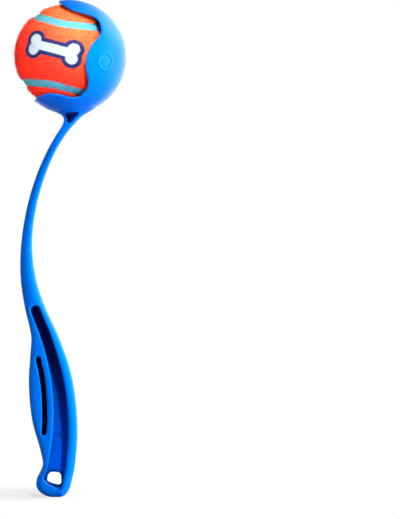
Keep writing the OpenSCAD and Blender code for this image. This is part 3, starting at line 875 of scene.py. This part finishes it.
WHITE = linear("#FFFFFF")
# Ways from the object to the bright paper and the soft box that its gloss shows
PAPER_WAY, SOFT_BOX_WAY = (0.5, 0.866, 0), (0.77, 0.28, 0.57)
FLOOR_REACH, FLOOR_GAP = 6.0, 0.0001
# Painted shade on the floor: where its white glow is weakest, so that its grey and the lamps' real shadow
# show, and how far from there that painted shade reaches
PAINTED_SHADE_AT, PAINTED_SHADE_REACH = (-0.022, 0.014), (0.01, 0.055)
SPOT_BLEND = 0.2


def studio_floor():
    """White paper: seen from the camera it glows to white, more so away from the object. Beside the butt the
    glow is weakest, a painted shade patch where its grey and the lamps' real shadow show.
    """
    mesh = bpy.data.meshes.new("studio_floor")
    level = BUTT_Z * MM - FLOOR_GAP
    corners = [(FLOOR_REACH * x, FLOOR_REACH * y, level) for x, y in ((-1, -1), (1, -1), (1, 1), (-1, 1))]
    mesh.from_pydata(corners, [], [(0, 1, 2, 3)])
    floor = bpy.data.objects.new("studio_floor", mesh)
    scene.collection.objects.link(floor)
    finish, tree, shader, place = finish_named("white_paper_floor")
    set_inputs(shader, {"Base Color": linear("#A8A8A8"), "Roughness": 1.0, "Specular IOR Level": 0.0})
    away = vector_maths(tree, "DISTANCE", place, (*PAINTED_SHADE_AT, level))
    # The white glow weakens toward the painted shade patch
    paper = ranged(tree, away, PAINTED_SHADE_REACH, (0.66, 1), "SMOOTHSTEP")
    rays = add(tree, "ShaderNodeLightPath").outputs
    glow = maths(tree, "MULTIPLY", paper, rays["Is Camera Ray"])
    white = add(tree, "ShaderNodeEmission", {"Color": WHITE, "Strength": 1}).outputs[0]
    seen = add(tree, "ShaderNodeMixShader", {0: glow, 1: shader.outputs[0], 2: white}).outputs[0]
    # The plastic's gloss shows a dim floor near the object and bright paper behind it on the right
    behind = vector_maths(tree, "DOT_PRODUCT", place, PAPER_WAY)
    sheet = ranged(tree, behind, (0.3, 0.7), (0.05, 2.0), "SMOOTHSTEP")
    shown = add(tree, "ShaderNodeEmission", {"Color": WHITE, "Strength": sheet}).outputs[0]
    seen = add(tree, "ShaderNodeMixShader", {0: rays["Is Glossy Ray"], 1: seen, 2: shown}).outputs[0]
    tree.links.new(seen, tree.nodes["Material Output"].inputs["Surface"])
    mesh.materials.append(finish)


def aimed(name, data, place, target):
    """Adds a light or a camera that looks at the target."""
    holder = bpy.data.objects.new(name, data)
    holder.location = place
    holder.rotation_euler = (Vector(target) - holder.location).to_track_quat("-Z", "Y").to_euler()
    scene.collection.objects.link(holder)
    return holder


def lamp(name, place, target, size, power, spread=180):
    """A round soft lamp, which gloss doesn't show. Its spread is the angle of its beam in degrees."""
    light = bpy.data.lights.new(name, "AREA")
    light.shape, light.size, light.energy, light.spread = "DISK", size, power, math.radians(spread)
    aimed(name, light, place, target).visible_glossy = False


def spot(name, place, target, size, power, cone, colour=(1, 1, 1), glossy=False):
    """A narrow lamp. Its cone is in degrees."""
    light = bpy.data.lights.new(name, "SPOT")
    light.energy, light.color = power, colour
    light.spot_size, light.spot_blend, light.shadow_soft_size = math.radians(cone), SPOT_BLEND, size
    aimed(name, light, place, target).visible_glossy = glossy


def studio_world():
    """White behind the object and on its right, where gloss shows it; dim on its left."""
    world = bpy.data.worlds.new("studio")
    scene.world = world
    world.use_nodes = True
    tree = world.node_tree
    tree.nodes.clear()
    way = add(tree, "ShaderNodeTexCoord").outputs["Generated"]
    ways = add(tree, "ShaderNodeSeparateXYZ", {"Vector": way}).outputs
    rays = add(tree, "ShaderNodeLightPath").outputs
    # The room behind the camera is dark
    dim = ranged(tree, ways["Y"], (-0.95, -0.2), (0.02, 0.16), "SMOOTHSTEP")
    # What the gloss shows: bright paper behind the object on its right, and a soft box above that
    right = ranged(tree, ways["X"], (0, 0.12))
    shown = 0.05
    for toward, edge, strength in ((PAPER_WAY, (0.7, 0.95), 2.2), (SOFT_BOX_WAY, (0.9, 0.99), 5.0)):
        facing = vector_maths(tree, "DOT_PRODUCT", way, toward)
        panel = ranged(tree, facing, edge, (0, strength), "SMOOTHSTEP")
        shown = maths(tree, "MULTIPLY_ADD", panel, right, shown)
    soft, gloss, white = (
        add(tree, "ShaderNodeBackground", {"Color": WHITE, "Strength": strength}).outputs[0]
        for strength in (dim, shown, 1)
    )
    lit = add(tree, "ShaderNodeMixShader", {0: rays["Is Glossy Ray"], 1: soft, 2: gloss}).outputs[0]
    seen = add(tree, "ShaderNodeMixShader", {0: rays["Is Camera Ray"], 1: lit, 2: white}).outputs[0]
    add(tree, "ShaderNodeOutputWorld", {"Surface": seen})


# Targets of the lamps, in metres
HEAD, HEAD_SIDE, STEM, HANDLE = (0.012, 0, 0.226), (0.010, 0, 0.225), (-0.008, 0, 0.120), (0.0, 0, -0.005)
HANDLE_BACK, WHOLE, BALL = (0.005, 0, -0.005), (0.010, 0, 0.110), BALL_AT * MM
WARM = (1.0, 0.8, 0.95)
# Radius of the ring of lamps on the head
HEAD_RING = 0.14

studio_floor()
studio_world()
for turn in np.radians(np.arange(0, 360, 72)):
    place = (0.20 + HEAD_RING * math.cos(turn), -0.64, 0.66 + HEAD_RING * math.sin(turn))
    spot("head", place, HEAD, size=0.012, power=9.0, cone=6.8, glossy=True)
lamp("key", (0.28, -0.62, 0.64), HANDLE, size=0.08, power=0.21, spread=29)
lamp("stem", (0.28, -0.62, 0.60), STEM, size=0.08, power=0.045, spread=22)
lamp("side", (0.62, -0.05, 0.24), HEAD_SIDE, size=0.3, power=0.42, spread=30)
lamp("spine", (0.60, -0.075, 0.02), HANDLE_BACK, size=0.1, power=1.0, spread=50)
lamp("rim", (0.38, 0.70, 0.80), WHOLE, size=0.7, power=14)
lamp("fill", (-0.80, -0.55, 0.0), WHOLE, size=0.6, power=5.0)
spot("ball_warm", (0.32, -0.80, -0.06), BALL, size=0.03, power=36, cone=5.8, colour=WARM)
spot("ball_left", (-0.46, -0.72, -0.04), BALL, size=0.03, power=22, cone=5.8, colour=WARM)

camera = bpy.data.cameras.new("camera")
camera.lens, camera.sensor_width = 146.0, 36
scene.camera = aimed("camera", camera, place=(0.010, -1.36, 0.090), target=(0.0954, 0, 0.0905))
